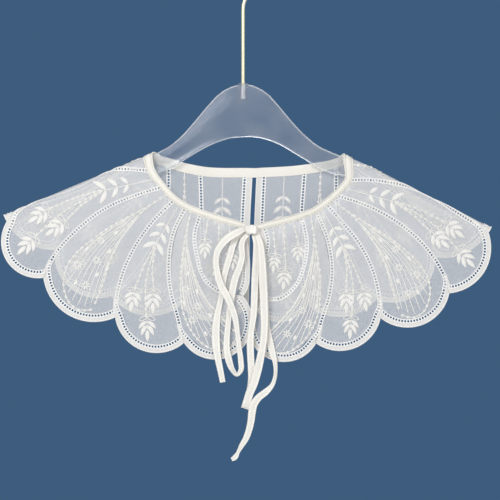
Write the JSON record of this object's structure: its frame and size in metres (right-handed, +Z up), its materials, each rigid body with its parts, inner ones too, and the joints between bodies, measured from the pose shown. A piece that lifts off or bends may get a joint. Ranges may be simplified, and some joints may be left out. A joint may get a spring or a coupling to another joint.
{
  "type": "lace collar on a clear hanger",
  "caption": "Sheer embroidered collar with a scalloped hem and ribbon ties, folded over a clear shoulder hanger with a wire hook.",
  "frame": {"origin": "inner top of the hook, where a rail holds it up", "axes": "+Z up along the rod, +X to the viewer's right along the collar's width, -Y out of the collar's front"},
  "size_m": [0.4927, 0.041, 0.5236],
  "materials": {
    "organza": "sheer white organza with white embroidery",
    "binding": "matt cream-white bias cotton",
    "clear_plastic": "clear glossy moulding",
    "hook_metal": "pale plated wire, satin"
  },
  "bodies": {
    "root": {"left_half": "organza", "right_half": "organza", "neck_binding": "binding", "bow_knot": "binding", "left_loop": "binding", "left_tail": "binding", "right_loop": "binding", "right_tail": "binding", "hanger_plate": "clear_plastic", "hook_rod": "hook_metal"}
  },
  "joints": []
}
